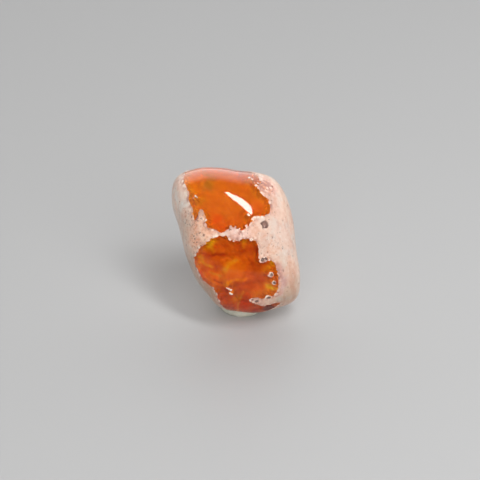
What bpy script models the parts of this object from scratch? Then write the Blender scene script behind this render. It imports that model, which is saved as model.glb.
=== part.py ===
"""A tumbled fire opal in its pale host rock, leaning back on a small pad of putty.

The stone's body, fire_opal, is the host rock with two pockets in it. A body of opal fills each pocket and is
polished level with the rock. Metres, +Z up. The origin is on the surface that the pad stands on, under the
middle of the whole box.
The stone is drawn in millimetres in a frame of its own: U across its face, V up its face, N out of it.
U is world +X, and the face leans back, so that N points forward (-Y) and up. Places on its skin are given
unrolled: how far they are, along the skin, from the middle of the face.
"""

import math

import bmesh
import bpy
from mathutils import Matrix, Vector

MM = 0.001

# The stone's girdle: how far it reaches from its middle, every 15 degrees from +U towards +V
GIRDLE = (
    8.0, 8.1, 8.5, 9.2, 9.9, 9.8, 9.8, 10.6, 11.7, 12.4, 10.8, 8.8,
    7.9, 7.6, 7.6, 8.0, 8.6, 9.7, 10.0, 10.5, 10.9, 11.4, 9.9, 8.5,
)
# How many sizes to each side are averaged for the rounder outline that the domes take towards their tops
SOFT_STEPS = 3
FRONT_RISE = 7.2
BACK_RISE = 4.8
ROUNDNESS = 2.1
# How much thicker the stone gets per millimetre towards +V and towards +U
THICKER_UP = 0.006
THICKER_ACROSS = -0.017
# Soft unevenness that tumbling leaves
SWELL = 0.10
LEAN_DEG = 36.0
STONE_CENTRE = Vector((0.29, 0.35, 9.36))
STONE_DETAIL = 5

# Open pits in the polished face: U, V, radius, depth
PITS = (
    (3.70, 1.95, 0.64, 0.42),
    (3.35, -2.75, 0.44, 0.26),
    (4.65, -4.80, 0.38, 0.24),
    (4.95, -5.75, 0.34, 0.20),
    (4.15, -8.05, 0.44, 0.26),
    (2.90, -8.60, 0.50, 0.20),
)
PIT_ROUNDS = 2

# The two windows of opal in the rock, unrolled: a point inside each, and its outline as seen from that point
UPPER_MIDDLE = Vector((-2.2, 7.2))
UPPER_WINDOW = (
    (-7.6, 8.7), (-6.9, 7.0), (-6.1, 5.6), (-5.7, 4.0), (-5.4, 2.7), (-4.4, 3.3), (-3.9, 2.0), (-2.7, 1.0),
    (-1.95, 0.75), (-0.9, 1.3), (0.55, 1.15), (1.5, 1.9), (2.5, 2.9), (4.0, 3.4), (4.2, 4.9), (3.0, 6.1),
    (2.3, 7.3), (1.7, 9.0), (1.5, 11.0), (0.4, 13.6), (-2.2, 15.4), (-5.2, 15.6), (-7.4, 14.2), (-8.4, 12.0),
    (-8.1, 10.2),
)
LOWER_MIDDLE = Vector((0.2, -8.0))
LOWER_WINDOW = (
    (-2.15, 0.3), (-3.7, -0.2), (-4.3, -0.8), (-5.4, -1.3), (-6.1, -2.4), (-6.8, -3.2), (-6.2, -4.6),
    (-5.45, -6.05), (-4.35, -6.8), (-3.5, -7.6), (-3.4, -9.0), (-3.0, -11.0), (-2.0, -12.6), (-0.2, -13.6),
    (2.2, -13.8), (4.6, -12.6), (5.6, -10.8), (2.6, -9.2), (1.7, -8.4), (2.2, -7.9), (4.6, -7.5), (5.1, -6.5),
    (5.0, -4.35), (4.6, -3.1), (3.8, -2.6), (2.6, -2.2), (2.6, -1.4), (2.0, -0.3), (0.7, -0.1), (-0.3, -0.4),
    (-1.2, 0.1),
)
# A pocket in the rock: a steep wall at its border, then a floor that falls away inwards
WALL_DEPTH = 0.85
FLOOR_FALL = 1.3
FLOOR_SHARES = (1.0, 0.85, 0.6, 0.3)
# The cutters' tops stand clear above the skin
CLEAR_ABOVE = 1.0
TOP_SHARES = (0.3, 0.65, 1.0)
HALVINGS = 30

# The pad: centre on the surface, half width, half depth, height before the stone presses into it
PAD_CENTRE = Vector((0.90, -1.35, 0.0))
PAD_HALF_WIDTH = 3.7
PAD_HALF_DEPTH = 4.0
PAD_HEIGHT = 4.2
PAD_SIDES = 56
# Rings up the pad's side: share of the height, share of the half sizes
PAD_RINGS = ((0.0, 0.95), (0.06, 0.99), (0.16, 1.0), (0.34, 0.97), (0.6, 0.86), (0.82, 0.66), (0.95, 0.40))
TOUCH_GAP = 0.3


def girdle_reach(angle):
    """The girdle's reach at an angle, on a smooth closed curve through its sizes."""
    count = len(GIRDLE)
    place = (angle / math.tau % 1.0) * count
    k = int(place) % count
    s = place - int(place)
    a, b, c, d = (GIRDLE[(k + step) % count] for step in (-1, 0, 1, 2))
    curve = (c - a) * s + (2 * a - 5 * b + 4 * c - d) * s * s + (3 * b - a - 3 * c + d) * s ** 3
    return b + 0.5 * curve


def soft_reach(angle):
    """A rounder outline: the girdle's reach averaged over its neighbouring sizes."""
    steps = range(-SOFT_STEPS, SOFT_STEPS + 1)
    return sum(girdle_reach(angle + math.tau * k / len(GIRDLE)) for k in steps) / len(steps)


def swell(way):
    """Soft unevenness in a direction from the stone's middle."""
    broad = math.sin(3.1 * way.x + 1.0) * math.sin(2.7 * way.y + 0.4)
    return SWELL * (broad + 0.6 * math.sin(4.3 * way.z + 2.0 * way.x))


def stone_surface(way, grow=0.0):
    """The point of the smooth stone in a direction from its middle, in its own frame."""
    angle = math.atan2(way.y, way.x)
    dome = way.z ** 2
    reach = girdle_reach(angle) * (1 - dome) + soft_reach(angle) * dome
    rise = FRONT_RISE if way.z > 0 else BACK_RISE
    flat = math.hypot(way.x, way.y) / reach
    tall = abs(way.z) / rise
    point = way * ((flat ** ROUNDNESS + tall ** ROUNDNESS) ** (-1 / ROUNDNESS) + swell(way) + grow)
    point.z *= 1 + THICKER_UP * point.y + THICKER_ACROSS * point.x
    return point


def pit_depth(point):
    """How deep the pits go at a point of the face."""
    depth = 0.0
    if point.z > 0:
        for u, v, radius, deepest in PITS:
            share = math.hypot(point.x - u, point.y - v) / radius
            if share < 1:
                depth = max(depth, deepest * (1 - share ** 2) ** 0.8)
    return depth


def unrolled_length(angle, tip):
    """How far along the skin from the middle of the face a direction lies, by its angle and its tip from N."""
    dome = math.cos(tip) ** 2
    reach = girdle_reach(angle) * (1 - dome) + soft_reach(angle) * dome
    rise = FRONT_RISE if tip < math.pi / 2 else BACK_RISE
    turn = math.atan2(math.sin(tip) / reach, math.cos(tip) / rise)
    front = min(turn, math.pi / 2) * (reach + FRONT_RISE) / 2
    return front + max(turn - math.pi / 2, 0) * (reach + BACK_RISE) / 2


def below_skin(place, depth):
    """The point at a depth under an unrolled place, whose direction is found by halving."""
    angle = math.atan2(place.y, place.x)
    low, high = 0.0, math.pi
    for _ in range(HALVINGS):
        tip = (low + high) / 2
        if unrolled_length(angle, tip) < place.length:
            low = tip
        else:
            high = tip
    way = Vector((math.sin(tip) * math.cos(angle), math.sin(tip) * math.sin(angle), math.cos(tip)))
    return (stone_surface(way) - way * depth) * MM


def floor_depth(share):
    """How deep a pocket's floor is, by its share of the way from the window's middle to its border."""
    return WALL_DEPTH + FLOOR_FALL * (1 - share ** 2)


def way_from_middle(co):
    """A direction spread evenly over the stone, from a point of a round ball."""
    middle_reach = sum(GIRDLE) / len(GIRDLE)
    middle_rise = (FRONT_RISE + BACK_RISE) / 2
    return Vector((co.x * middle_reach, co.y * middle_reach, co.z * middle_rise)).normalized()


def refine_at_pits(bm):
    """Makes the mesh finer around each pit, in rounds that close in on it, so that its bowl is round."""
    for step in range(PIT_ROUNDS):
        closeness = 2.0 - 0.4 * step
        near = []
        for edge in bm.edges:
            middle = (edge.verts[0].co + edge.verts[1].co) / 2
            point = stone_surface(way_from_middle(middle))
            if point.z > 0 and any(math.hypot(point.x - u, point.y - v) < closeness * r for u, v, r, _ in PITS):
                near.append(edge)
        bmesh.ops.subdivide_edges(bm, edges=near, cuts=1, use_grid_fill=True)
        bmesh.ops.triangulate(bm, faces=[face for face in bm.faces if len(face.verts) > 3])


def ball_mesh(name, detail, shape, refine=None):
    """A closed mesh made from a fine ball, with every point moved by shape."""
    bm = bmesh.new()
    bmesh.ops.create_icosphere(bm, subdivisions=detail, radius=1.0)
    if refine:
        refine(bm)
    for vert in bm.verts:
        vert.co = shape(way_from_middle(vert.co)) * MM
    bmesh.ops.recalc_face_normals(bm, faces=bm.faces[:])
    mesh = bpy.data.meshes.new(name)
    bm.to_mesh(mesh)
    bm.free()
    mesh.shade_smooth()
    return mesh


def polished_shape(way):
    """The stone's surface with its pits."""
    point = stone_surface(way)
    return point - way * pit_depth(point)


def grown_shape(way):
    """The stone's surface, grown by the gap that it keeps to the pad."""
    return stone_surface(way, TOUCH_GAP)


def lean():
    """Turns the stone's own frame, U, V, N, into the world's."""
    tilt = math.radians(LEAN_DEG)
    across = Vector((1, 0, 0))
    up_face = Vector((0, math.sin(tilt), math.cos(tilt)))
    out_of_face = Vector((0, -math.cos(tilt), math.sin(tilt)))
    turn = Matrix((across, up_face, out_of_face)).transposed().to_4x4()
    return Matrix.Translation(STONE_CENTRE * MM) @ turn


def finish_of(name, colour, roughness, metallic=0.0):
    """A plain finish of one colour."""
    material = bpy.data.materials.new(name)
    material.use_nodes = True
    shader = material.node_tree.nodes["Principled BSDF"]
    shader.inputs["Base Color"].default_value = (*colour, 1.0)
    shader.inputs["Roughness"].default_value = roughness
    shader.inputs["Metallic"].default_value = metallic
    material.diffuse_color = (*colour, 1.0)
    return material


def add_object(name, mesh):
    obj = bpy.data.objects.new(name, mesh)
    bpy.context.scene.collection.objects.link(obj)
    return obj


def add_cutter(name, mesh):
    """A shape in the stone's frame that only cuts others."""
    cutter = add_object(name, mesh)
    cutter.matrix_world = lean()
    cutter.hide_render = True
    cutter.display_type = "WIRE"
    return cutter


def pocket_mesh(name, middle, outline, gap):
    """What fills a window's pocket and stands clear above it, kept a gap inside the pocket's walls and floor."""
    levels = [(share, -CLEAR_ABOVE) for share in TOP_SHARES]
    levels += [(share, floor_depth(share) - gap) for share in FLOOR_SHARES]
    bm = bmesh.new()
    rings = []
    for share, depth in levels:
        arms = [Vector(corner) - middle for corner in outline]
        places = [middle + arm * share * (1 - gap / arm.length) for arm in arms]
        rings.append([bm.verts.new(below_skin(place, depth)) for place in places])
    top = bm.verts.new(below_skin(middle, -CLEAR_ABOVE))
    bottom = bm.verts.new(below_skin(middle, floor_depth(0) - gap))
    for k in range(len(outline)):
        after = (k + 1) % len(outline)
        bm.faces.new((top, rings[0][k], rings[0][after]))
        bm.faces.new((bottom, rings[-1][after], rings[-1][k]))
        for high, low in zip(rings, rings[1:]):
            bm.faces.new((high[k], low[k], low[after], high[after]))
    bmesh.ops.triangulate(bm, faces=bm.faces[:])
    bmesh.ops.recalc_face_normals(bm, faces=bm.faces[:])
    mesh = bpy.data.meshes.new(name)
    bm.to_mesh(mesh)
    bm.free()
    return mesh


def cut_with(obj, cutter, operation):
    """Cuts a piece with a cutter, which it takes away or keeps within."""
    cut = obj.modifiers.new(cutter.name, "BOOLEAN")
    cut.operation = operation
    cut.solver = "EXACT"
    cut.object = cutter


def build_rock(skin, windows):
    """The stone's body of host rock, with a pocket under each window."""
    skin.materials.append(finish_of("host_rock", (0.66, 0.45, 0.33), 0.25))
    rock = add_object("fire_opal", skin)
    rock.matrix_world = lean()
    for name, middle, outline in windows:
        pocket = name + "_pocket"
        cutter = add_cutter(pocket, pocket_mesh(pocket, middle, outline, 0.0))
        cut_with(rock, cutter, "DIFFERENCE")


def build_opal(skin, name, middle, outline):
    """The opal that fills one pocket, polished level with the rock."""
    skin.materials.append(finish_of(name, (0.80, 0.22, 0.02), 0.05))
    opal = add_object(name, skin)
    opal.matrix_world = lean()
    limit = name + "_limit"
    cutter = add_cutter(limit, pocket_mesh(limit, middle, outline, TOUCH_GAP))
    cut_with(opal, cutter, "INTERSECT")


def build_press():
    """The stone's shape, grown by the gap, which presses its bed into the pad."""
    return add_cutter("press", ball_mesh("press", STONE_DETAIL - 1, grown_shape))


def pad_ring(bm, height, share):
    """One level ring of the pad, as a list of its points."""
    ring = []
    for k in range(PAD_SIDES):
        angle = math.tau * k / PAD_SIDES
        x = PAD_CENTRE.x + PAD_HALF_WIDTH * share * math.cos(angle)
        y = PAD_CENTRE.y + PAD_HALF_DEPTH * share * math.sin(angle)
        ring.append(bm.verts.new(Vector((x, y, height)) * MM))
    return ring


def build_pad(press):
    """The pad: a squashed lump with a flat foot, and the stone's bed pressed into its top."""
    bm = bmesh.new()
    rings = [pad_ring(bm, PAD_HEIGHT * height, share) for height, share in PAD_RINGS]
    for low, high in zip(rings, rings[1:]):
        for k in range(PAD_SIDES):
            after = (k + 1) % PAD_SIDES
            bm.faces.new((low[k], low[after], high[after], high[k]))
    bm.faces.new(rings[0][::-1])
    bm.faces.new(rings[-1])
    mesh = bpy.data.meshes.new("putty_pad")
    bm.to_mesh(mesh)
    bm.free()
    mesh.shade_smooth()
    mesh.materials.append(finish_of("putty", (0.62, 0.60, 0.48), 0.6))
    pad = add_object("putty_pad", mesh)
    cut_with(pad, press, "DIFFERENCE")


def main():
    for obj in list(bpy.data.objects):
        bpy.data.objects.remove(obj)
    windows = (("upper_opal", UPPER_MIDDLE, UPPER_WINDOW), ("lower_opal", LOWER_MIDDLE, LOWER_WINDOW))
    skin = ball_mesh("stone_skin", STONE_DETAIL, polished_shape, refine_at_pits)
    for window in windows:
        build_opal(skin.copy(), *window)
    build_rock(skin, windows)
    build_pad(build_press())


main()
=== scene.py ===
"""The looks of a tumbled fire opal in its pale host rock, which leans back on a small pad of putty.

The frame is in metres, +Z up. The stone is worked out in millimetres in a frame of its own: U across its
face, V up its face, N out of it. Places on its skin are also given unrolled: how far they are, along the
skin, from the middle of the face.
"""

import math

import bmesh
import bpy
import numpy as np
from mathutils import Matrix, Vector, noise
from mathutils.bvhtree import BVHTree


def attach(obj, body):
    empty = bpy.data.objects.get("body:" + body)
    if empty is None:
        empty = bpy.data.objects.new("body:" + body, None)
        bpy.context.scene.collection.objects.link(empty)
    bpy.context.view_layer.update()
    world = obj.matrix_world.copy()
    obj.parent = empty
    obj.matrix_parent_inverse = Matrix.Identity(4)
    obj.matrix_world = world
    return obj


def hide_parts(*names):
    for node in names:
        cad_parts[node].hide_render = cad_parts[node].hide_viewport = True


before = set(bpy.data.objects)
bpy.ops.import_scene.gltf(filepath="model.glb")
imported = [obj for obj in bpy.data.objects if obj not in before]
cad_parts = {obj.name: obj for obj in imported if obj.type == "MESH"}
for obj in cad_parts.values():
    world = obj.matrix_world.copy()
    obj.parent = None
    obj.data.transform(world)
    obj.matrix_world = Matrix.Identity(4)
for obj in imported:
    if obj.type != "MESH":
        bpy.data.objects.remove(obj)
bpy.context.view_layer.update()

MM = 0.001
# How far apart in the noise its layers are read, and two noises that should not match
LAYERS_APART = 17.0
NOISES_APART = 50.0

# The stone, as the solid has it
GIRDLE = (
    8.0, 8.1, 8.5, 9.2, 9.9, 9.8, 9.8, 10.6, 11.7, 12.4, 10.8, 8.8,
    7.9, 7.6, 7.6, 8.0, 8.6, 9.7, 10.0, 10.5, 10.9, 11.4, 9.9, 8.5,
)
SOFT_STEPS = 3
FRONT_RISE = 7.2
BACK_RISE = 4.8
ROUNDNESS = 2.1
THICKER_UP = 0.006
THICKER_ACROSS = -0.017
SWELL = 0.10
LEAN_DEG = 36.0
STONE_CENTRE = Vector((0.29, 0.35, 9.36))
# The skin's mesh: how often the ball is halved, and how near a border it is halved once and twice more
STONE_DETAIL = 7
DETAIL_REACHES = (0.45, 0.20)
# How far out that goes on round a pit and a chip, in their radii
PIT_DETAIL = 1.3
CHIP_DETAIL = 1.8

# Outlines of the two opal windows in the rock, unrolled
UPPER_WINDOW = (
    (-7.6, 8.7), (-7.0, 7.3), (-6.1, 6.0), (-6.0, 5.1), (-6.1, 4.5), (-5.65, 3.8), (-5.6, 3.0),
    (-5.45, 2.35), (-4.9, 2.9), (-4.7, 3.4), (-4.35, 3.5), (-3.85, 2.8), (-3.95, 2.1), (-3.9, 1.6),
    (-3.4, 1.35), (-2.65, 1.0), (-1.95, 0.7), (-1.35, 1.05), (-0.85, 1.35), (-0.2, 1.15), (0.55, 1.1),
    (1.2, 1.55), (1.7, 2.15), (1.95, 2.65), (2.6, 2.9), (3.45, 3.0), (4.05, 3.4), (4.25, 4.1),
    (4.05, 5.0), (3.45, 5.5), (2.95, 6.0), (2.75, 6.6), (2.9, 7.4), (3.05, 8.3), (2.75, 9.6),
    (2.2, 11.2), (0.9, 13.6), (-2.2, 15.4), (-5.2, 15.6), (-7.4, 14.2), (-8.4, 12.0), (-8.1, 10.2),
)
LOWER_WINDOW = (
    (-2.15, 0.3), (-2.95, 0.2), (-3.75, -0.25), (-4.25, -0.8), (-5.1, -1.05), (-5.6, -1.55),
    (-6.05, -2.3), (-6.8, -3.2), (-6.45, -4.2), (-5.9, -5.1), (-5.3, -6.05), (-4.25, -6.7),
    (-3.4, -7.3), (-2.95, -8.6), (-2.7, -10.0), (-1.9, -12.2), (-0.4, -13.6), (2.2, -13.8),
    (4.6, -12.6), (5.9, -11.0), (6.3, -9.6), (5.4, -9.3), (4.3, -9.5), (2.7, -9.3), (1.65, -8.5),
    (2.1, -7.75), (3.2, -7.85), (4.5, -7.75), (5.1, -6.8), (5.05, -5.4), (5.0, -4.35), (4.75, -3.35),
    (4.35, -2.85), (3.8, -2.55), (3.25, -2.3), (2.5, -2.25), (2.6, -1.45), (2.4, -0.85),
    (2.05, -0.35), (1.45, -0.2), (0.7, -0.05), (0.2, -0.25), (-0.3, -0.4), (-0.85, -0.2), (-1.3, 0.2),
)
# Straight pieces between two of an outline's points
CURVE_STEPS = 4
# How far noise moves a window's border, and how many times per millimetre it does so
BORDER_NOISE = ((0.14, 0.9), (0.13, 2.1), (0.08, 4.3))
# Rounded knobs of rock, which stand out along the borders and in the haze beside the upper window
KNOBS_PER_MM = 1.5
KNOB_SIZE = 0.50
KNOB_UNEVENNESS = ((0.30, 0.8), (0.18, 2.7))
KNOB_SOFTNESS = 0.30
KNOB_RISE = 0.03
# How far a knob moves the border into the opal, and the share of a knob that leaves it where it is
KNOB_REACH_IN = 0.17
KNOB_SHARE_AT_BORDER = 0.35
# Where few of them are, so that stained rock shows instead: unrolled place, radius, share lost
FEW_KNOBS = (5.2, -5.3, 1.9, 0.75)
# The belt of knobs along a border: its width, its mean and least strength, and its patches
KNOB_BELT = 0.42
BELT_MEAN = 0.7
BELT_LEAST = 0.2
BELT_PATCHES = ((1.1, 0.7), (0.5, 1.9))
# The haze: unrolled place, radius, strength
HAZE = (3.6, 7.4, 1.6, 0.85)

# The pockets that the opal fills: a steep wall, then a floor that falls away inwards
WALL_DEPTH = 0.85
WALL_WIDTH = 0.30
FLOOR_FALL = 1.5
FLOOR_REACH = 2.0
FLOOR_STARTS = 0.6
FLOOR_LUMPS = ((0.34, 0.55), (0.15, 1.5), (0.05, 4.0))
LUMPS_REACH = 1.2
UPPER_LUMPS = 0.3
# The opal's own skin lies this far under the rock's, and its rim and its back are hidden in the rock
FLUSH = 0.012
RIM_SPREAD = 0.22
RIM_DIP = 0.9
BACK_OVERLAP = 0.12
LEAST_THICKNESS = 0.06

# Open pits with a ring of rock round them: unrolled place, radius, depth, height of the ring
PITS = (
    (2.90, -2.50, 0.32, 0.26, 0.05),
    (3.42, -2.42, 0.24, 0.20, 0.05),
    (4.05, -4.38, 0.27, 0.24, 0.06),
    (4.50, -5.45, 0.20, 0.18, 0.03),
    (4.10, -7.85, 0.34, 0.26, 0.05),
    (2.50, -8.50, 0.34, 0.20, 0.05),
    (1.85, -8.15, 0.18, 0.14, 0.04),
)
PIT_RING = 1.26
PIT_WOBBLE = ((0.11, 1.8), (0.10, 4.4))
PIT_ROUNDNESS = 0.8
# The raised ring's own radius and width, in radii of its pit
RING_TOP = 1.1
RING_WIDTH = 0.25
# The painted highlight on a ring of pale rock: how light it is in the middle, and how much lighter on its
# upper left, towards the light, before its patches
RING_HIGHLIGHT = 0.5
RING_HIGHLIGHT_SLANT = 0.45
RING_PATCHES = ((0.9, 2.2),)
# How far past them the painted highlight of rings and of grains goes, in radii and in millimetres
RING_EDGE = 0.3
GRAIN_EDGE = 0.1
# How far a pit's painted shade reaches, in its radii or half sides
BOWL_SHADE = 1.05
SQUARE_SHADE = 1.25
# How far a pit lies off the middle of its ring, in radii
PIT_OFFSET = (0.24, -0.16)
# The one square pit: unrolled place, half side, depth, turn in degrees
SQUARE_PIT = (3.46, 1.84, 0.50, 0.45, 24.0)
# Its uneven outline: how uneven, and how its waves run across and along it
SQUARE_WOBBLE = 0.13
SQUARE_WAVES = ((5.1, 0.7), (4.3, 1.9))
SQUARE_STEEPNESS = 2.5
# How sharp its corners are: 2 would make it round
SQUARE_CORNERS = 5
# Little grains of cream rock in the opal's skin, painted at full light as painted glints of its polish:
# unrolled place, radius
GLINT_GRAINS = (
    (-1.45, -6.42, 0.11), (-1.22, -6.50, 0.14), (-0.96, -6.60, 0.14), (-1.05, -7.18, 0.12),
    (-0.85, -7.28, 0.11), (-5.38, 4.90, 0.09), (-5.12, 5.08, 0.11), (-4.87, 4.96, 0.08),
    (1.28, 2.89, 0.12), (1.76, 2.38, 0.13), (1.03, 1.52, 0.15), (1.66, 8.76, 0.20), (1.98, 8.45, 0.13),
    (2.42, 7.13, 0.19), (2.62, 6.78, 0.13), (2.25, 7.65, 0.10), (2.75, 7.70, 0.12),
)
GRAIN_WOBBLE = ((0.12, 3.5),)
# Chips in the opal's polish: U, V, radius, depth
CHIPS = ((-1.25, -6.60, 0.26, 0.16), (-1.05, -7.35, 0.22, 0.14))

# Clouds of tint on the rock: unrolled place, radius, strength, colour. The dark brown clouds on the lower
# left edge, at the bottom and at the lower right are painted shade, where the stone's underside is turned
# from the light
ROCK_BASE = (0.80, 0.545, 0.415)
ROCK_TINTS_AND_PAINTED_SHADE = (
    (-7.5, 5.5, 2.4, 0.8, (0.86, 0.69, 0.58)),
    (-9.5, 1.5, 2.4, 0.7, (0.70, 0.53, 0.41)),
    # Painted shade: the lower left edge and the bottom
    (-8.2, -4.6, 2.9, 0.8, (0.50, 0.31, 0.20)),
    (-4.9, -8.7, 2.8, 0.8, (0.50, 0.31, 0.20)),
    (-4.9, 0.5, 2.3, 0.9, (0.97, 0.57, 0.39)),
    (4.2, 3.8, 1.8, 0.6, (0.74, 0.48, 0.39)),
    (3.6, 7.4, 1.7, 0.9, (0.80, 0.38, 0.29)),
    (6.4, 0.4, 2.6, 0.8, (0.75, 0.55, 0.46)),
    (6.6, -5.0, 2.4, 0.6, (0.65, 0.43, 0.325)),
    # Painted shade: the lower right
    (7.4, -8.2, 2.6, 0.8, (0.46, 0.31, 0.22)),
    (0.2, 0.4, 1.5, 0.6, (0.80, 0.52, 0.46)),
    (5.1, -3.9, 0.8, 0.7, (0.58, 0.29, 0.25)),
    (5.4, -5.3, 0.8, 0.7, (0.56, 0.27, 0.24)),
    (5.3, -6.8, 0.8, 0.7, (0.58, 0.29, 0.25)),
    (2.9, -8.9, 0.8, 0.5, (0.60, 0.32, 0.26)),
)
# Tints that the rock's clouds, bands, blots and dots multiply its colour by
PALER_CLOUD = (0.94, 1.06, 1.14)
BAND_TINT = (0.92, 0.80, 0.76)
BLOT_TINT = (0.88, 0.67, 0.56)
PALER_BLOT = (1.08, 1.20, 1.30)
DOT_TINT = (0.80, 0.62, 0.56)
# Colours of its knobs, of the stains between them, of its specks, and of the painted shade in its pits
KNOB_CREAM = (0.97, 0.84, 0.71)
KNOB_PINK = (0.80, 0.46, 0.38)
STAIN_ORANGE = (0.78, 0.36, 0.19)
STAIN_BROWN = (0.38, 0.15, 0.12)
SPECK_BROWN = (0.22, 0.10, 0.08)
PIT_DARK = (0.12, 0.06, 0.055)
PIT_BROWN = (0.28, 0.155, 0.125)
ROCK_POLISH = 0.5
# How many clouds, blots and dots it has per millimetre, and how many bands across, through and up
CLOUDS_PER_MM = 0.55
BLOTS_PER_MM = 1.9
DOTS_PER_MM = 8.0
BANDS_PER_MM = (0.85, 0.5, 0.22)
# Specks: how many cells per millimetre, and how large they are in their cells
LARGE_SPECKS = (1.35, 0.30)
SMALL_SPECKS = (2.7, 0.34)
SMALL_SPECK_STRENGTH = 0.75
# Where the rock's dark specks crowd: unrolled place, radius, strength
SPECK_CROWDS = (
    (-5.6, 0.9, 2.1, 1.0),
    (-6.9, 3.4, 1.6, 0.7),
    (0.4, 0.5, 1.4, 0.9),
    (4.2, -0.9, 2.0, 0.7),
    (-5.9, -0.9, 1.2, 0.9),
)
FEW_SPECKS = 0.14
# How far noise moves them, in millimetres, and how many times per millimetre
SPECK_STRAY = 0.55
STRAYS_PER_MM = 2.6

# The putty's colours, and how many smears and grains it has per millimetre
PUTTY_DEEP = (0.66, 0.65, 0.52)
PUTTY_PALE = (0.82, 0.80, 0.68)
PUTTY_GRAIN = (0.48, 0.46, 0.35)
SMEARS_PER_MM = 0.8
PUTTY_GRAINS_PER_MM = 7.0

# The opal's colours, as they are seen through its depth
ORANGE = (0.61, 0.068, 0.002)
BRIGHT_ORANGE = (0.80, 0.090, 0.001)
FIRE = (0.80, 0.046, 0.001)
OLIVE = (0.31, 0.076, 0.006)
GOLD = (0.80, 0.145, 0.002)
AMBER = (0.80, 0.165, 0.002)
DEEP_ORANGE = (0.53, 0.040, 0.001)
RUST = (0.30, 0.021, 0.001)
EMBER = (0.66, 0.026, 0.001)
WISP = (0.26, 0.013, 0.001)
# Painted shade: the darkest red, along the bottom edge
PAINTED_SHADE_MAROON = (0.10, 0.004, 0.001)
# Clouds of them, as seen on the face: U, V, radius, strength, colour. The dark clouds along the bottom edge
# are painted shade, where the opal turns under the stone
OPAL_TINTS_AND_PAINTED_SHADE = (
    (0.2, -6.5, 8.2, 1.0, DEEP_ORANGE),
    (-6.0, 7.4, 1.7, 0.8, BRIGHT_ORANGE),
    (-4.2, 7.2, 1.1, 0.9, OLIVE),
    (-6.0, 4.0, 1.2, 0.7, BRIGHT_ORANGE),
    (-3.3, 2.8, 1.0, 1.0, FIRE),
    (-2.3, 1.4, 0.7, 1.0, FIRE),
    (2.8, 4.6, 1.3, 0.6, (0.80, 0.070, 0.004)),
    (0.9, 2.0, 0.9, 0.7, (0.70, 0.075, 0.001)),
    (-3.5, -0.75, 0.72, 1.0, AMBER),
    (-3.2, -1.5, 0.42, 0.9, AMBER),
    (0.3, -0.8, 0.9, 0.6, RUST),
    (0.9, -0.5, 0.45, 0.7, AMBER),
    (-5.0, -2.4, 0.5, 0.9, GOLD),
    (-4.8, -3.3, 0.8, 0.9, BRIGHT_ORANGE),
    (-3.0, -3.7, 0.55, 0.8, RUST),
    (-4.9, -4.6, 0.6, 0.9, EMBER),
    (-3.6, -5.0, 0.8, 0.9, (0.76, 0.062, 0.001)),
    (-1.9, -5.2, 1.0, 0.9, BRIGHT_ORANGE),
    (-0.6, -3.4, 1.6, 0.6, (0.72, 0.080, 0.001)),
    (2.0, -1.6, 0.9, 0.8, RUST),
    (2.6, -3.3, 1.2, 0.8, (0.40, 0.031, 0.001)),
    (3.3, -5.4, 1.1, 0.9, (0.36, 0.026, 0.001)),
    (4.3, -3.4, 0.5, 0.9, AMBER),
    (4.7, -6.2, 0.5, 0.9, AMBER),
    (0.9, -6.6, 1.1, 0.8, RUST),
    (1.2, -7.9, 0.8, 0.9, EMBER),
    (-0.5, -7.8, 0.7, 0.9, BRIGHT_ORANGE),
    (-2.3, -8.1, 0.7, 0.9, EMBER),
    (3.2, -8.0, 0.6, 0.7, ORANGE),
    # Painted shade along the bottom edge
    (-1.8, -9.4, 0.8, 1.0, WISP),
    (0.2, -9.9, 0.9, 1.0, RUST),
    (2.2, -9.6, 0.9, 1.0, WISP),
    (4.2, -9.2, 1.0, 1.0, PAINTED_SHADE_MAROON),
)
# How far the clouds' outlines wander, and how many times per millimetre
CLOUD_WARP = ((0.9, 0.45), (0.45, 1.1), (0.12, 2.6))
# Streaks in the opal: how strong, how many per millimetre, and how they are stretched
OPAL_STREAKS = ((0.45, 0.9), (0.30, 2.0), (0.12, 4.5))
STREAK_STRETCH = (0.7, 1.3, 1.0)
# Along a pocket's walls the floor's tint is painted so much yellower, to this far in: painted light, against
# the shade that falls on the steep walls
WALL_PAINTED_LIGHT = 0.8
WALL_PAINTED_LIGHT_REACH = 0.4
OPAL_IOR = 1.40
# The upper opal's face has a hard shine, and the lower one's has none
UPPER_POLISH = 0.8
LOWER_POLISH = 0.0
# The share of light that the opal lets through per millimetre, and its way in and out, in depths
CLEAR_PER_MM = (0.995, 0.88, 0.30)
TWO_WAYS = 2.15
# The light that reaches a pocket's floor, and the shares that leave at once or are turned back by the face
FACE_LIGHT = 0.80
STRAIGHT_OUT = 0.43
TURNED_BACK = 0.57
# Healed cracks and veils in the opal, as seen on the face: width, strength, colour, and U, V points
VEILS = (
    (0.17, 1.0, BRIGHT_ORANGE,
     ((-1.8, -6.3), (-1.2, -5.9), (-0.8, -5.7), (-0.3, -5.45), (0.3, -5.4), (1.25, -5.25))),
    (0.26, 0.9, RUST, ((-1.6, -6.8), (-1.1, -6.4), (-0.6, -6.15), (0.3, -5.9), (1.25, -5.75), (2.5, -5.6))),
    (0.12, 0.8, GOLD, ((0.5, -7.0), (0.25, -7.7), (0.1, -8.4), (0.0, -9.0))),
    (0.26, 1.0, WISP, ((-4.2, -1.95), (-3.4, -2.2), (-2.6, -2.2), (-1.9, -2.1))),
    (0.14, 0.9, RUST, ((-5.0, -1.6), (-4.5, -1.75), (-4.0, -1.95))),
    (0.15, 0.9, WISP, ((-3.2, -5.3), (-2.6, -5.4), (-2.1, -5.6))),
    (0.30, 0.7, AMBER, ((-1.7, -4.2), (-1.2, -3.4), (-0.5, -2.8))),
    (0.17, 0.8, GOLD, ((-4.6, -2.7), (-4.0, -3.3), (-3.3, -3.6))),
    (0.15, 0.7, GOLD, ((-3.6, -4.4), (-2.9, -4.6), (-2.2, -4.9))),
)
# How much of the clouds' wandering the veils take part in
VEIL_WARP = 0.4

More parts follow.
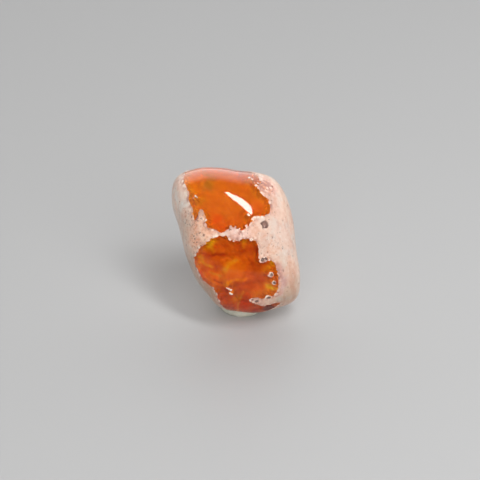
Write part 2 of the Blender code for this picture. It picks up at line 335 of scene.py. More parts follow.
# The pad: centre on the surface, half width, half depth, height before the stone presses into it
PAD_CENTRE = Vector((0.90, -1.35, 0.0))
PAD_HALF_WIDTH = 3.7
PAD_HALF_DEPTH = 4.0
PAD_HEIGHT = 4.2
PAD_ROUNDNESS = 0.8
PAD_SIDES = 128
PAD_RINGS = 64
PAD_PRESS = 0.04
# How far kneading pushes its sides in and out, as a share, and how much of that is fine dents
PAD_KNEAD = 0.09
PAD_DENTS = 0.4
# How far under its widest belt the pad is tucked in at its foot, as an angle
PAD_TUCK = 0.5
BELOW_ALL = -10.0

# Light panels: size and place from the stone's middle in millimetres, and radiance
STRIP_SIZE = (279.0, 54.0)
STRIP_PLACE = Vector((123.0, -72.0, 305.0))
STRIP_TURN_DEG = -41.4
STRIP_RADIANCE = 14.0
PANEL_SIZE = (570.0, 450.0)
PANEL_PLACE = Vector((75.0, -285.0, 255.0))
PANEL_RADIANCE = 2.05
# The surroundings: bright behind the stone, dim on the camera's side, with a glow from the left
SKY_BEHIND = 1.45
SKY_IN_FRONT = 0.10
SKY_TURNS = (-0.32, 0.14)
GLOW_WAY = (-0.97, 0.0, 0.24)
GLOW = 0.2
GLOW_TURNS = (0.7, 0.98)
# The floor, in metres
FLOOR_HALF = 3.0
FLOOR_GREY = (0.44, 0.44, 0.44)
FLOOR_ROUGHNESS = 0.5

# The camera looks at the stone's middle from in front and above
VIEW_ELEVATION_DEG = 34.0
VIEW_DISTANCE = 259.7
VIEW_OFFSET = Vector((0.28, 0.0, 0.07))
LENS = 139.5
SENSOR = 36.0
NEAREST = 0.01
FARTHEST = 20.0


def girdle_reach(angle):
    """The girdle's reach at each angle, on a smooth closed curve through its sizes."""
    count = len(GIRDLE)
    sizes = np.array(GIRDLE)
    place = (angle / math.tau % 1.0) * count
    k = place.astype(int) % count
    s = place - np.floor(place)
    a, b, c, d = (sizes[(k + step) % count] for step in (-1, 0, 1, 2))
    curve = (c - a) * s + (2 * a - 5 * b + 4 * c - d) * s ** 2 + (3 * b - a - 3 * c + d) * s ** 3
    return b + 0.5 * curve


def soft_reach(angle):
    """A rounder outline: the girdle's reach averaged over its neighbouring sizes."""
    steps = range(-SOFT_STEPS, SOFT_STEPS + 1)
    return sum(girdle_reach(angle + math.tau * k / len(GIRDLE)) for k in steps) / len(steps)


def stone_skin(ball):
    """Takes points of a round ball to the stone's smooth skin: the points and their unrolled places."""
    middle = np.array((np.mean(GIRDLE), np.mean(GIRDLE), (FRONT_RISE + BACK_RISE) / 2))
    way = ball * middle
    way /= np.linalg.norm(way, axis=1, keepdims=True)
    x, y, z = way.T
    angle = np.arctan2(y, x)
    dome = z ** 2
    reach = girdle_reach(angle) * (1 - dome) + soft_reach(angle) * dome
    rise = np.where(z > 0, FRONT_RISE, BACK_RISE)
    flat = np.hypot(x, y) / reach
    tall = np.abs(z) / rise
    broad = np.sin(3.1 * x + 1.0) * np.sin(2.7 * y + 0.4)
    swell = SWELL * (broad + 0.6 * np.sin(4.3 * z + 2.0 * x))
    points = way * ((flat ** ROUNDNESS + tall ** ROUNDNESS) ** (-1 / ROUNDNESS) + swell)[:, None]
    points[:, 2] *= 1 + THICKER_UP * points[:, 1] + THICKER_ACROSS * points[:, 0]
    tip = np.arctan2(flat, z / rise)
    front = np.minimum(tip, math.pi / 2) * (reach + FRONT_RISE) / 2
    back = np.maximum(tip - math.pi / 2, 0) * (reach + BACK_RISE) / 2
    places = (front + back)[:, None] * np.stack((np.cos(angle), np.sin(angle)), axis=1)
    return points, places


def wander(points, layers):
    """Smooth noise at each point: the sum of layers of (size, times per millimetre)."""
    total = np.zeros(len(points))
    for size, rate in layers:
        total += size * np.array([noise.noise(Vector(p)) for p in points * rate + LAYERS_APART * rate])
    return total


def smooth_loop(corners):
    """A smooth closed curve through an outline's points."""
    a, b, c, d = (np.roll(np.array(corners), -step, axis=0) for step in (-1, 0, 1, 2))
    parts = []
    for k in range(CURVE_STEPS):
        s = k / CURVE_STEPS
        curve = (c - a) * s + (2 * a - 5 * b + 4 * c - d) * s ** 2 + (3 * b - a - 3 * c + d) * s ** 3
        parts.append(b + 0.5 * curve)
    return np.stack(parts, axis=1).reshape(-1, 2)


def gap_to_lines(places, starts, ends):
    """How far each place is from the nearest of some straight lines."""
    nearest = np.full(len(places), np.inf)
    for start, end in zip(starts, ends):
        along = end - start
        share = np.clip((places - start) @ along / (along @ along), 0, 1)
        nearest = np.minimum(nearest, np.linalg.norm(places - start - share[:, None] * along, axis=1))
    return nearest


def depth_inside(places, corners):
    """How far each place is inside a closed outline; outside it the figure is negative."""
    starts = smooth_loop(corners)
    ends = np.roll(starts, -1, axis=0)
    inside = np.zeros(len(places), bool)
    for (ax, ay), (bx, by) in zip(starts, ends):
        if ay != by:
            between = (places[:, 1] > ay) != (places[:, 1] > by)
            inside ^= between & (places[:, 0] < ax + (bx - ax) * (places[:, 1] - ay) / (by - ay))
    gap = gap_to_lines(places, starts, ends)
    return np.where(inside, gap, -gap)


def smooth_step(value):
    """A value from 0 to 1, eased at both ends."""
    value = np.clip(value, 0, 1)
    return value * value * (3 - 2 * value)


def pocket_depth(inside, points, lumpy):
    """How deep a pocket's floor lies under the skin, by how far inside its window a point is."""
    wall = WALL_DEPTH * smooth_step(inside / WALL_WIDTH)
    past = np.maximum(inside - FLOOR_STARTS * WALL_WIDTH, 0)
    fall = FLOOR_FALL * (1 - np.exp(-past / FLOOR_REACH))
    lumps = lumpy * wander(points, FLOOR_LUMPS) * smooth_step(past / LUMPS_REACH)
    return np.maximum(wall + fall + lumps, np.minimum(wall, WALL_DEPTH / 2))


def square_gap(places):
    """How far each place is from the middle of the square pit, in half sides."""
    u, v, half, _, turn = SQUARE_PIT
    spin = math.radians(turn)
    across = (places[:, 0] - u) * math.cos(spin) + (places[:, 1] - v) * math.sin(spin)
    along = (places[:, 1] - v) * math.cos(spin) - (places[:, 0] - u) * math.sin(spin)
    (rate_across, start_across), (rate_along, start_along) = SQUARE_WAVES
    waves_across = np.sin(rate_across * across / half + start_across)
    uneven = SQUARE_WOBBLE * waves_across * np.sin(rate_along * along / half + start_along)
    rounded = (np.abs(across) ** SQUARE_CORNERS + np.abs(along) ** SQUARE_CORNERS) ** (1 / SQUARE_CORNERS)
    return rounded / half + uneven


def pit_gaps(places, points, offset=(0.0, 0.0)):
    """How far each place is from the middle of each round pit, in its radii, with an uneven outline."""
    wobble = wander(points, PIT_WOBBLE)
    gaps = []
    for u, v, radius, _, _ in PITS:
        across = places[:, 0] - u - offset[0] * radius
        along = places[:, 1] - v - offset[1] * radius
        gaps.append((np.hypot(across, along) + wobble) / radius)
    return gaps


def pit_shape(places, points):
    """How deep the open pits go, less the raised rings round them."""
    depth = SQUARE_PIT[3] * smooth_step(SQUARE_STEEPNESS * (1 - square_gap(places)))
    bowls = pit_gaps(places, points, PIT_OFFSET)
    for gap, bowl, (_, _, _, deepest, ring) in zip(pit_gaps(places, points), bowls, PITS):
        sunk_in = deepest * np.clip(1 - bowl ** 2, 0, 1) ** PIT_ROUNDNESS
        depth = np.maximum(depth, sunk_in) - ring * np.exp(-((gap - RING_TOP) / RING_WIDTH) ** 2)
    return depth


def warped(places, points):
    """Places moved about by noise, so that what is drawn at them gets natural outlines."""
    across = wander(points, CLOUD_WARP)
    along = wander(points + NOISES_APART, CLOUD_WARP)
    return places + np.stack((across, along), axis=1)


def clouded(places, base, clouds):
    """A colour at each place: a base with soft clouds of other colours over it."""
    colour = np.tile(np.array(base), (len(places), 1))
    for u, v, radius, strength, tint in clouds:
        gap = np.hypot(places[:, 0] - u, places[:, 1] - v) / radius
        share = (strength * np.exp(-gap ** 3))[:, None]
        colour = colour * (1 - share) + np.array(tint) * share
    return colour


def veiled(places, colour):
    """The colour with the veils and healed cracks drawn in it."""
    for width, strength, tint, points in VEILS:
        line = np.array(points)
        gap = gap_to_lines(places, line[:-1], line[1:]) / width
        share = (strength * np.exp(-gap ** 2))[:, None]
        colour = colour * (1 - share) + np.array(tint) * share
    return colour


def lean():
    """Turns the stone's own frame, U, V, N, in millimetres, into the world's, in metres."""
    tilt = math.radians(LEAN_DEG)
    across = Vector((1, 0, 0))
    up_face = Vector((0, math.sin(tilt), math.cos(tilt)))
    out_of_face = Vector((0, -math.cos(tilt), math.sin(tilt)))
    turn = Matrix((across, up_face, out_of_face)).transposed().to_4x4()
    return Matrix.Translation(STONE_CENTRE * MM) @ turn @ Matrix.Scale(MM, 4)


def sunk(points, depth):
    """Points moved straight towards the stone's middle by a depth."""
    return points * (1 - depth / np.linalg.norm(points, axis=1))[:, None]


def corner_array(mesh):
    """A mesh's points, as an array."""
    co = np.empty(len(mesh.vertices) * 3)
    mesh.vertices.foreach_get("co", co)
    return co.reshape(-1, 3)


def knob_shares(points, places):
    """Rounded knobs: 1 on top of each, 0 between them."""
    nearest = np.array([noise.voronoi(Vector(p))[0][0] for p in points * KNOBS_PER_MM])
    u, v, radius, lost = FEW_KNOBS
    left = 1 - lost * np.exp(-(np.hypot(places[:, 0] - u, places[:, 1] - v) / radius) ** 3)
    return left * smooth_step((KNOB_SIZE + wander(points, KNOB_UNEVENNESS) - nearest) / KNOB_SOFTNESS)


def knobby(places, points, inside):
    """How much of its knobs shows at each place of the rock: all at a border, none far from it."""
    u, v, radius, strength = HAZE
    haze = strength * np.exp(-(np.hypot(places[:, 0] - u, places[:, 1] - v) / radius) ** 3)
    patches = np.clip(BELT_MEAN + wander(points, BELT_PATCHES), BELT_LEAST, 1.0)
    return np.maximum(haze, patches * np.exp(-(inside / KNOB_BELT) ** 2))


def window_depths(places, points, knobs):
    """How far inside the upper and the lower window each point is, past ragged borders, rings and grains."""
    ragged = wander(points, BORDER_NOISE) + KNOB_REACH_IN * (KNOB_SHARE_AT_BORDER - knobs)
    depths = [depth_inside(places, outline) + ragged for outline in (UPPER_WINDOW, LOWER_WINDOW)]
    rings = [(gap - PIT_RING) * pit[2] for gap, pit in zip(pit_gaps(places, points), PITS)]
    uneven = wander(points, GRAIN_WOBBLE)
    grains = [np.hypot(places[:, 0] - u, places[:, 1] - v) - radius + uneven for u, v, radius in GLINT_GRAINS]
    for rock in rings + grains:
        depths = [np.minimum(depth, rock) for depth in depths]
    return depths


def painted_ring_highlights(places, points):
    """How light the pale rings round the pits and the grains are, with painted highlights lighter on the
    rings' upper left, and -1 elsewhere.
    """
    patches = wander(points, RING_PATCHES)
    lit = np.full(len(places), -1.0)
    for u, v, radius, _, _ in PITS:
        across = (places[:, 0] - u) / radius
        along = (places[:, 1] - v) / radius
        near = np.hypot(across, along) < PIT_RING + RING_EDGE
        # Painted highlight: lighter towards the upper left, where the light falls
        light = RING_HIGHLIGHT + RING_HIGHLIGHT_SLANT * (along - across) + patches
        lit = np.where(near, np.clip(light, 0, 1), lit)
    # The grains are painted at full light: painted glints
    for u, v, radius in GLINT_GRAINS:
        lit = np.where(np.hypot(places[:, 0] - u, places[:, 1] - v) < radius + GRAIN_EDGE, 1.0, lit)
    return lit


def close_to_detail(ball, reach):
    """Which points of the ball are so close to a border, a pit or a chip that they need a finer mesh."""
    points, places = stone_skin(ball)
    inside = np.maximum(*window_depths(places, points, knob_shares(points, places)))
    close = (np.abs(inside) < reach) | (np.abs(square_gap(places) - 1) < reach)
    for gap in pit_gaps(places, points):
        close |= gap < PIT_DETAIL + reach
    for u, v, radius, _ in CHIPS:
        close |= (np.hypot(points[:, 0] - u, points[:, 1] - v) < CHIP_DETAIL * radius) & (points[:, 2] > 0)
    return close


def fine_ball():
    """A round ball's triangles, made finer in two rounds where the stone has its detail."""
    bm = bmesh.new()
    bmesh.ops.create_icosphere(bm, subdivisions=STONE_DETAIL, radius=1.0)
    for reach in DETAIL_REACHES:
        close = close_to_detail(np.array([vert.co for vert in bm.verts]), reach)
        bm.verts.index_update()
        near = [edge for edge in bm.edges if close[edge.verts[0].index] and close[edge.verts[1].index]]
        bmesh.ops.subdivide_edges(bm, edges=near, cuts=1, use_grid_fill=True)
        bmesh.ops.triangulate(bm, faces=[face for face in bm.faces if len(face.verts) > 3])
        for vert in bm.verts:
            vert.co.normalize()
    mesh = bpy.data.meshes.new("ball")
    bm.to_mesh(mesh)
    bm.free()
    ball = corner_array(mesh)
    faces = np.empty(len(mesh.polygons) * 3, dtype=int)
    mesh.polygons.foreach_get("vertices", faces)
    bpy.data.meshes.remove(mesh)
    return ball, faces.reshape(-1, 3)


def dressed(mesh, material, node):
    """A piece with its mesh and material, riding with the root body in place of a solid."""
    mesh.shade_smooth()
    mesh.materials.append(material)
    piece = bpy.data.objects.new(mesh.name, mesh)
    bpy.context.scene.collection.objects.link(piece)
    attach(piece, "root")
    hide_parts(node)
    return piece


def piece_in_stone(name, points, faces, material, node):
    """A piece from points in the stone's own frame, in millimetres."""
    mesh = bpy.data.meshes.new(name)
    mesh.from_pydata(points.tolist(), [], faces)
    mesh.transform(lean())
    return dressed(mesh, material, node)


def add_values(piece, name, values):
    """A value at each of a piece's points, for its material to read."""
    values = np.asarray(values, dtype=np.float32)
    piece.data.attributes.new(name, "FLOAT", "POINT").data.foreach_set("value", values.ravel())


def add_colours(piece, name, colours):
    """A colour at each of a piece's points, for its material to read."""
    full = np.hstack((colours, np.ones((len(colours), 1)))).astype(np.float32)
    piece.data.attributes.new(name, "FLOAT_COLOR", "POINT").data.foreach_set("color", full.ravel())


def seen_as(colour, depth):
    """The tint that a pocket's floor needs, to be seen in a colour through so much opal."""
    share = colour / FACE_LIGHT
    returned = share / (STRAIGHT_OUT + TURNED_BACK * share)
    return np.clip(returned / np.array(CLEAR_PER_MM) ** (TWO_WAYS * depth[:, None]), 0, 1)


def build_rock(points, places, faces, inside, lumpy, knobs):
    """The host rock: the stone's whole skin, sunk into a pocket inside each window."""
    belt = knobby(places, points, inside)
    pocket = np.where(inside > 0, pocket_depth(inside, points, lumpy), 0)
    floor = sunk(points, pocket + pit_shape(places, points) - KNOB_RISE * knobs * belt * (inside <= 0))
    rock = piece_in_stone("host_rock", floor, faces.tolist(), rock_material(), "fire_opal")
    crowd = np.full(len(places), FEW_SPECKS)
    for u, v, radius, strength in SPECK_CROWDS:
        gap = np.hypot(places[:, 0] - u, places[:, 1] - v) / radius
        crowd = np.maximum(crowd, strength * np.exp(-gap ** 2))
    bowl = np.min(pit_gaps(places, points, PIT_OFFSET), axis=0)
    pitted = np.maximum(SQUARE_SHADE - square_gap(places), BOWL_SHADE - bowl)
    add_values(rock, "inside_window", inside)
    add_values(rock, "speck_crowd", crowd)
    add_values(rock, "inside_pit", pitted)
    # Where rings and grains are, the knob value is their painted highlight
    lit = painted_ring_highlights(places, points)
    add_values(rock, "knob", np.where(lit >= 0, lit, knobs))
    add_values(rock, "knob_belt", belt)
    # The rock's tints, with painted shade low on the stone
    add_colours(rock, "rock_tint", clouded(warped(places, points), ROCK_BASE, ROCK_TINTS_AND_PAINTED_SHADE))
    seen = floor[:, :2]
    stray = warped(seen, floor) - seen
    colour = veiled(seen + VEIL_WARP * stray, clouded(seen + stray, ORANGE, OPAL_TINTS_AND_PAINTED_SHADE))
    streaks = 1 + lumpy * wander(floor * np.array(STREAK_STRETCH), OPAL_STREAKS)
    colour *= np.stack((streaks ** 0.5, streaks, streaks), axis=1)
    # Painted light along the walls, which stand in shade
    border = 1 + WALL_PAINTED_LIGHT * np.exp(-(inside / WALL_PAINTED_LIGHT_REACH) ** 2)
    colour[:, 1] *= border
    # The floor's tint, with the painted shade along the bottom edge and the painted light along the walls
    add_colours(rock, "opal_tint", seen_as(colour, pocket))
    return rock


def chip_depth(points):
    """How deep the little chips in the opal's polish go."""
    depth = np.zeros(len(points))
    for u, v, radius, deepest in CHIPS:
        share = np.hypot(points[:, 0] - u, points[:, 1] - v) / radius
        depth += deepest * np.exp(-share ** 2) * (points[:, 2] > 0)
    return depth


def build_opal(name, points, faces, inside, lumpy, material, node):
    """One clear opal body: flush with the skin in its window, and bedded in the rock round and behind it."""
    kept = faces[(inside[faces] > -RIM_SPREAD).all(axis=1)]
    used, local = np.unique(kept, return_inverse=True)
    local = local.reshape(-1, 3)
    skin = points[used]
    spread = np.maximum(-inside[used], 0)
    front_depth = FLUSH + RIM_DIP * spread + chip_depth(skin)
    pocket = pocket_depth(inside[used], skin, lumpy) * (inside[used] > 0)
    back_depth = np.maximum(pocket + BACK_OVERLAP, front_depth + LEAST_THICKNESS)
    count = len(used)
    both = np.vstack((sunk(skin, front_depth), sunk(skin, back_depth)))
    edges = np.vstack((local[:, (0, 1)], local[:, (1, 2)], local[:, (2, 0)]))
    seen = set(map(tuple, edges.tolist()))
    rim = [(a, b) for a, b in seen if (b, a) not in seen]
    sides = [(b, a, a + count, b + count) for a, b in rim]
    shell = local.tolist() + (local[:, ::-1] + count).tolist() + sides
    return piece_in_stone(name, both, shell, material, node)


def kneaded(way, rise):
    """How far the pad's side is pushed in or out, as a share, at one angle and one height."""
    broad = noise.noise(way * 1.6 + Vector((3.0, 0, 2.4 * rise)))
    fine = noise.noise(way * 4.0 + Vector((0, 5.0, 5.0 * rise)))
    return 1 + PAD_KNEAD * (broad + PAD_DENTS * fine) * min(1, 0.4 + 3 * rise)


def pad_points(skin):
    """Rings of points up the pad, pressed down where the stone lies on it, in millimetres."""
    points = []
    for ring in range(PAD_RINGS + 1):
        rise = ring / PAD_RINGS
        slope = rise * math.pi / 2 - (1 - rise) * PAD_TUCK
        share = math.cos(slope) ** PAD_ROUNDNESS
        height = PAD_HEIGHT * (math.sin(slope) + math.sin(PAD_TUCK)) / (1 + math.sin(PAD_TUCK))
        for side in range(PAD_SIDES):
            angle = math.tau * side / PAD_SIDES
            way = Vector((math.cos(angle), math.sin(angle), 0))
            reach = share * kneaded(way, rise)
            x = PAD_CENTRE.x + PAD_HALF_WIDTH * reach * way.x
            y = PAD_CENTRE.y + PAD_HALF_DEPTH * reach * way.y
            hit = skin.ray_cast(Vector((x, y, BELOW_ALL)) * MM, Vector((0, 0, 1)))[0]
            pressed = min(height, hit.z / MM + PAD_PRESS) if hit else height
            points.append(Vector((x, y, max(pressed, 0.0))))
    return points


def build_pad(rock):
    """The pad: a kneaded lump with a flat foot, squashed under the stone."""
    points = pad_points(BVHTree.FromObject(rock, bpy.context.evaluated_depsgraph_get()))
    faces = [tuple(reversed(range(PAD_SIDES)))]
    for ring in range(PAD_RINGS):
        for side in range(PAD_SIDES):
            a = ring * PAD_SIDES + side
            b = ring * PAD_SIDES + (side + 1) % PAD_SIDES
            faces.append((a, b, b + PAD_SIDES, a + PAD_SIDES))
    faces.append(tuple(range(PAD_RINGS * PAD_SIDES, (PAD_RINGS + 1) * PAD_SIDES)))
    mesh = bpy.data.meshes.new("putty_lump")
    mesh.from_pydata([point * MM for point in points], [], faces)
    return dressed(mesh, putty_material(), "putty_pad")


def new_material(name):
    """A material with its tree, its Principled shader and its output."""
    material = bpy.data.materials.new(name)
    material.use_nodes = True
    tree = material.node_tree
    return material, tree, tree.nodes["Principled BSDF"]


def place_node(tree, kind, label, **settings):
    """A node with a label and its plain settings."""
    node = tree.nodes.new(kind)
    node.label = label
    for key, value in settings.items():
        setattr(node, key, value)
    return node


def attribute(tree, name, output="Fac"):
    """What a piece's points hold under a name: a value, or with the output Color a colour."""
    node = place_node(tree, "ShaderNodeAttribute", name, attribute_name=name)
    return node.outputs[output]


def millimetres(tree):
    """Places on a piece, in millimetres."""
    where = place_node(tree, "ShaderNodeTexCoord", "where on the piece")
    scale = place_node(tree, "ShaderNodeVectorMath", "in millimetres", operation="SCALE")
    scale.inputs["Scale"].default_value = 1 / MM
    tree.links.new(where.outputs["Object"], scale.inputs[0])
    return scale.outputs[0]


def noise_at(tree, where, rate, detail=3.0, rough=0.55):
    """Noise at a place, from 0 to 1, at so many times per millimetre, as a number or a socket."""
    node = place_node(tree, "ShaderNodeTexNoise", "noise")
    if isinstance(rate, (int, float)):
        node.inputs["Scale"].default_value = rate
    else:
        tree.links.new(rate, node.inputs["Scale"])
    node.inputs["Detail"].default_value = detail
    node.inputs["Roughness"].default_value = rough
    tree.links.new(where, node.inputs["Vector"])
    return node.outputs["Fac"]


def noise_colour(tree, where, rate):
    """Three noises at once, as a colour, which can move places about."""
    node = noise_at(tree, where, rate, 2.0).node
    return node.outputs["Color"]


def ranged(tree, value, low, high, to_low=0.0, to_high=1.0):
    """A value taken smoothly from one range to another."""
    node = place_node(tree, "ShaderNodeMapRange", "range", interpolation_type="SMOOTHSTEP")
    for socket, number in zip(("From Min", "From Max", "To Min", "To Max"), (low, high, to_low, to_high)):
        node.inputs[socket].default_value = number
    tree.links.new(value, node.inputs["Value"])
    return node.outputs["Result"]


def maths(tree, operation, *values):
    """One sum of two or three values, each a socket or a number."""
    node = place_node(tree, "ShaderNodeMath", operation.lower(), operation=operation)
    for socket, value in zip(node.inputs, values):
        if isinstance(value, (int, float)):
            socket.default_value = value
        else:
            tree.links.new(value, socket)
    return node.outputs[0]


def mixed(tree, share, first, second, blend="MIX"):
    """Two colours mixed, each a socket or an RGB colour."""
    node = place_node(tree, "ShaderNodeMix", "mix", data_type="RGBA", blend_type=blend)
    for socket, value in zip((node.inputs[0], node.inputs[6], node.inputs[7]), (share, first, second)):
        if isinstance(value, (int, float)):
            socket.default_value = value
        elif isinstance(value, tuple):
            socket.default_value = (*value, 1.0)
        else:
            tree.links.new(value, socket)
    return node.outputs[2]


def specks_at(tree, where, crowd, rate, size):
    """Round specks, one in some of the cells of a grid, more of them where crowd is high."""
    cells = place_node(tree, "ShaderNodeTexVoronoi", "specks", feature="F1")
    cells.inputs["Scale"].default_value = rate
    tree.links.new(where, cells.inputs["Vector"])
    pick = place_node(tree, "ShaderNodeSeparateColor", "which cells")
    tree.links.new(cells.outputs["Color"], pick.inputs[0])
    chosen = maths(tree, "LESS_THAN", pick.outputs["Red"], crowd)
    reach = maths(tree, "MULTIPLY_ADD", pick.outputs["Green"], size, 0.5 * size)
    near = maths(tree, "SUBTRACT", 1.0, maths(tree, "DIVIDE", cells.outputs["Distance"], reach))
    return maths(tree, "MULTIPLY", chosen, ranged(tree, near, 0.0, 0.8))


def grain_group():
    """Noise at a broad and at a fine scale, which the rock and the putty share."""
    name = "grain_at_two_scales"
    if name in bpy.data.node_groups:
        return bpy.data.node_groups[name]
    group = bpy.data.node_groups.new(name, "ShaderNodeTree")
    for label in ("Broad Per Millimetre", "Fine Per Millimetre"):
        group.interface.new_socket(label, in_out="INPUT", socket_type="NodeSocketFloat")
    for label in ("Broad", "Fine"):
        group.interface.new_socket(label, in_out="OUTPUT", socket_type="NodeSocketFloat")
    inside = place_node(group, "NodeGroupInput", "how fine")
    outside = place_node(group, "NodeGroupOutput", "the noise")
    where = millimetres(group)
    for number, (label, rough) in enumerate((("Broad", 0.65), ("Fine", 0.7))):
        group.links.new(noise_at(group, where, inside.outputs[number], 5.0, rough), outside.inputs[label])
    return group


def grain_at(tree, broad, fine):
    """The shared grain, placed in a material at its own two scales: the broad and the fine value."""
    node = place_node(tree, "ShaderNodeGroup", "grain", node_tree=grain_group())
    node.inputs["Broad Per Millimetre"].default_value = broad
    node.inputs["Fine Per Millimetre"].default_value = fine
    return node.outputs["Broad"], node.outputs["Fine"]


def add_bump(tree, shader, label, height, strength, distance):
    """Fine relief on a material, from a height, up to a distance in millimetres."""
    bump = place_node(tree, "ShaderNodeBump", label)
    bump.inputs["Strength"].default_value = strength
    bump.inputs["Distance"].default_value = distance * MM
    tree.links.new(height, bump.inputs["Height"])
    tree.links.new(bump.outputs[0], shader.inputs["Normal"])


def mottled_rock(tree, where, mottle, grain, crowd):
    """The rock's colour: its clouds of tint, with painted shade low on the stone, and paler clouds, bands,
    blots and dots over them.
    """
    stretch = place_node(tree, "ShaderNodeVectorMath", "stretched along the stone", operation="MULTIPLY")
    stretch.inputs[1].default_value = BANDS_PER_MM
    tree.links.new(where, stretch.inputs[0])
    cloud = noise_at(tree, where, CLOUDS_PER_MM, 4.0)
    bands = noise_at(tree, stretch.outputs[0], 1.0, 4.0, 0.6)
    busy = ranged(tree, crowd, 0.1, 0.8, 0.35, 1.0)
    layers = (
        (ranged(tree, cloud, 0.45, 0.65), PALER_CLOUD),
        (ranged(tree, bands, 0.47, 0.62), BAND_TINT),
        (maths(tree, "MULTIPLY", ranged(tree, mottle, 0.50, 0.66), busy), BLOT_TINT),
        (ranged(tree, mottle, 0.46, 0.30, 0.0, 0.8), PALER_BLOT),
        (maths(tree, "MULTIPLY", ranged(tree, grain, 0.54, 0.68), busy), DOT_TINT),
    )
    colour = attribute(tree, "rock_tint", "Color")
    for share, tint in layers:
        colour = mixed(tree, share, colour, tint, "MULTIPLY")
    return colour


def rock_specks(tree, where, crowd):
    """Large and small dark specks, strewn unevenly: 1 in the middle of a large one, 0 between them."""
    strayed = place_node(tree, "ShaderNodeVectorMath", "uneven specks", operation="MULTIPLY_ADD")
    strayed.inputs[1].default_value = (SPECK_STRAY, SPECK_STRAY, SPECK_STRAY)
    tree.links.new(noise_colour(tree, where, STRAYS_PER_MM), strayed.inputs[0])
    tree.links.new(where, strayed.inputs[2])
    large = specks_at(tree, strayed.outputs[0], crowd, *LARGE_SPECKS)
    small = specks_at(tree, strayed.outputs[0], crowd, *SMALL_SPECKS)
    return maths(tree, "MAXIMUM", large, maths(tree, "MULTIPLY", small, SMALL_SPECK_STRENGTH))


def knob_colour(tree, mottle):
    """Cream and pink knobs, with orange and brown stains between them."""
    between = mixed(tree, ranged(tree, mottle, 0.38, 0.54), STAIN_ORANGE, STAIN_BROWN)
    on_top = mixed(tree, ranged(tree, mottle, 0.48, 0.60), KNOB_CREAM, KNOB_PINK)
    # The knob value also holds the painted highlights of the rings and grains
    return mixed(tree, attribute(tree, "knob"), between, on_top)


def rock_material():
    """Pale pinkish host rock, polished, with dark specks and pits, and its pockets' opal-stained floors;
    with painted shade low on the stone and in its pits, and painted highlights on the rings round the pits.
    """
    material, tree, shader = new_material("polished_host_rock")
    where = millimetres(tree)
    mottle, grain = grain_at(tree, BLOTS_PER_MM, DOTS_PER_MM)
    crowd = attribute(tree, "speck_crowd")
    specks = rock_specks(tree, where, crowd)
    # Painted shade in the pits' hollows
    pit_shade = ranged(tree, attribute(tree, "inside_pit"), 0.1, 0.45)
    in_pocket = ranged(tree, attribute(tree, "inside_window"), 0.0, 0.05)
    pit_shade_colour = mixed(tree, ranged(tree, mottle, 0.44, 0.56), PIT_DARK, PIT_BROWN)
    layers = (
        (attribute(tree, "knob_belt"), knob_colour(tree, mottle)),
        (specks, SPECK_BROWN),
        (pit_shade, pit_shade_colour),
    )
    colour = mottled_rock(tree, where, mottle, grain, crowd)
    for share, tint in layers:
        colour = mixed(tree, maths(tree, "MULTIPLY", share, 0.9), colour, tint)
    colour = mixed(tree, in_pocket, colour, attribute(tree, "opal_tint", "Color"))
    tree.links.new(colour, shader.inputs["Base Color"])
    rough = ranged(tree, mottle, 0.3, 0.7, 0.30, 0.5)
    for dull in (specks, in_pocket):
        rough = maths(tree, "MAXIMUM", rough, maths(tree, "MULTIPLY", dull, 0.8))
    tree.links.new(rough, shader.inputs["Roughness"])
    dents = maths(tree, "MULTIPLY", specks, -1.0)
    height = maths(tree, "MULTIPLY_ADD", maths(tree, "ADD", grain, mottle), 0.12, dents)
    add_bump(tree, shader, "grain and specks", height, 0.5, 0.08)
    on_skin = maths(tree, "SUBTRACT", ROCK_POLISH, in_pocket)
    polish = maths(tree, "MULTIPLY", on_skin, maths(tree, "SUBTRACT", 1.0, specks))
    tree.links.new(maths(tree, "MAXIMUM", polish, 0.0), shader.inputs["Coat Weight"])
    shader.inputs["Coat Roughness"].default_value = 0.10
    shader.inputs["Coat IOR"].default_value = 1.5
    return material


def opal_material(name, polish):
    """Clear orange opal: smooth glass that takes up a share of the light per millimetre, and its polish."""
    material, tree, shader = new_material(name)
    shader.inputs["Base Color"].default_value = (1.0, 0.985, 0.96, 1.0)
    shader.inputs["Roughness"].default_value = 0.02
    shader.inputs["IOR"].default_value = OPAL_IOR
    shader.inputs["Transmission Weight"].default_value = 1.0
    shader.inputs["Coat Weight"].default_value = polish
    shader.inputs["Coat Roughness"].default_value = 0.03
    shader.inputs["Coat IOR"].default_value = 1.5
    taken = [-math.log(share) / MM for share in CLEAR_PER_MM]
    most = max(taken)
    depths = place_node(tree, "ShaderNodeVolumeAbsorption", "orange depths")
    depths.inputs["Color"].default_value = (*(1 - rate / most for rate in taken), 1.0)
    depths.inputs["Density"].default_value = most
    tree.links.new(depths.outputs[0], tree.nodes["Material Output"].inputs["Volume"])
    return material


def putty_material():
    """Pale, soft putty with a faint sheen."""
    material, tree, shader = new_material("pale_putty")
    smear, grain = grain_at(tree, SMEARS_PER_MM, PUTTY_GRAINS_PER_MM)
    colour = mixed(tree, ranged(tree, smear, 0.35, 0.65), PUTTY_DEEP, PUTTY_PALE)
    colour = mixed(tree, ranged(tree, grain, 0.55, 0.75, 0.0, 0.3), colour, PUTTY_GRAIN)
    tree.links.new(colour, shader.inputs["Base Color"])
    tree.links.new(ranged(tree, grain, 0.3, 0.7, 0.38, 0.55), shader.inputs["Roughness"])
    add_bump(tree, shader, "kneading marks", maths(tree, "ADD", smear, grain), 0.4, 0.1)
    return material


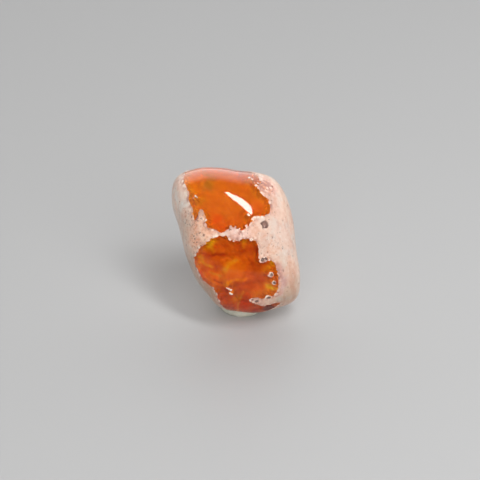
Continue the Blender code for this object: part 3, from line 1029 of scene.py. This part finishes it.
def build_stone():
    """The stone's rock and its two opal bodies, all from the same fine skin."""
    ball, faces = fine_ball()
    points, places = stone_skin(ball)
    knobs = knob_shares(points, places)
    upper, lower = window_depths(places, points, knobs)
    lumpy = np.where(upper > lower, UPPER_LUMPS, 1.0)
    rock = build_rock(points, places, faces, np.maximum(upper, lower), lumpy, knobs)
    orange = opal_material("clear_orange_opal", UPPER_POLISH)
    amber = opal_material("clear_amber_opal", LOWER_POLISH)
    build_opal("clear_upper_opal", points, faces, upper, UPPER_LUMPS, orange, "upper_opal")
    build_opal("clear_lower_opal", points, faces, lower, 1.0, amber, "lower_opal")
    return rock


def build_floor():
    """A plain pale floor."""
    mesh = bpy.data.meshes.new("floor")
    corners = [(FLOOR_HALF * x, FLOOR_HALF * y, 0) for x, y in ((-1, -1), (1, -1), (1, 1), (-1, 1))]
    mesh.from_pydata(corners, [], [(0, 1, 2, 3)])
    material, _, shader = new_material("pale_floor")
    shader.inputs["Base Color"].default_value = (*FLOOR_GREY, 1.0)
    shader.inputs["Roughness"].default_value = FLOOR_ROUGHNESS
    mesh.materials.append(material)
    floor = bpy.data.objects.new("floor", mesh)
    bpy.context.scene.collection.objects.link(floor)


def add_light(name, shape, size, radiance, place):
    """A light panel with an even radiance, its size and place given in millimetres."""
    light = bpy.data.lights.new(name, "AREA")
    light.shape = shape
    light.size = size[0] * MM
    light.size_y = size[1] * MM
    filled = math.pi / 4 if shape == "ELLIPSE" else 1.0
    light.energy = radiance * math.pi * light.size * light.size_y * filled
    lamp = bpy.data.objects.new(name, light)
    lamp.location = (STONE_CENTRE + place) * MM
    bpy.context.scene.collection.objects.link(lamp)
    return lamp


def build_lights():
    """A long narrow strip, mirrored as the upper opal's streak, and a soft panel that nothing mirrors."""
    strip = add_light("strip_light", "ELLIPSE", STRIP_SIZE, STRIP_RADIANCE, STRIP_PLACE)
    strip.rotation_euler = (0, 0, math.radians(STRIP_TURN_DEG))
    panel = add_light("soft_panel", "RECTANGLE", PANEL_SIZE, PANEL_RADIANCE, PANEL_PLACE)
    panel.rotation_euler = PANEL_PLACE.to_track_quat("Z", "Y").to_euler()
    panel.visible_glossy = False
    panel.visible_camera = False


def share_towards(tree, where, way):
    """How nearly a direction of the surroundings points one way: 1 if straight, -1 if opposite."""
    node = place_node(tree, "ShaderNodeVectorMath", "share towards one side", operation="DOT_PRODUCT")
    tree.links.new(where.outputs["Generated"], node.inputs[0])
    node.inputs[1].default_value = way
    return node.outputs["Value"]


def build_world():
    """Soft light from all round, dimmest from the camera's side so that the face mirrors little of it."""
    world = bpy.data.worlds.new("studio")
    bpy.context.scene.world = world
    world.use_nodes = True
    tree = world.node_tree
    backdrop = tree.nodes["Background"]
    where = place_node(tree, "ShaderNodeTexCoord", "direction")
    tilt = math.radians(VIEW_ELEVATION_DEG)
    front = share_towards(tree, where, (0, -math.cos(tilt), math.sin(tilt)))
    left = share_towards(tree, where, GLOW_WAY)
    sky = ranged(tree, front, *SKY_TURNS, SKY_BEHIND, SKY_IN_FRONT)
    glow = ranged(tree, left, *GLOW_TURNS, 0.0, GLOW)
    tree.links.new(maths(tree, "ADD", sky, glow), backdrop.inputs["Strength"])
    backdrop.inputs["Color"].default_value = (1.0, 1.0, 1.0, 1.0)


def build_camera():
    """The camera, at the photograph's angle."""
    scene = bpy.context.scene
    camera = bpy.data.cameras.new("camera")
    camera.lens = LENS
    camera.sensor_width = SENSOR
    camera.clip_start = NEAREST
    camera.clip_end = FARTHEST
    holder = bpy.data.objects.new("camera", camera)
    tilt = math.radians(VIEW_ELEVATION_DEG)
    back = Vector((0, -math.cos(tilt), math.sin(tilt)))
    holder.location = (STONE_CENTRE + VIEW_OFFSET + back * VIEW_DISTANCE) * MM
    holder.rotation_euler = (math.pi / 2 - tilt, 0, 0)
    scene.collection.objects.link(holder)
    scene.camera = holder


def main():
    """The stage, the stone and its pad."""
    build_camera()
    build_world()
    build_lights()
    build_floor()
    build_pad(build_stone())
    bpy.context.scene.view_settings.view_transform = "Standard"


main()
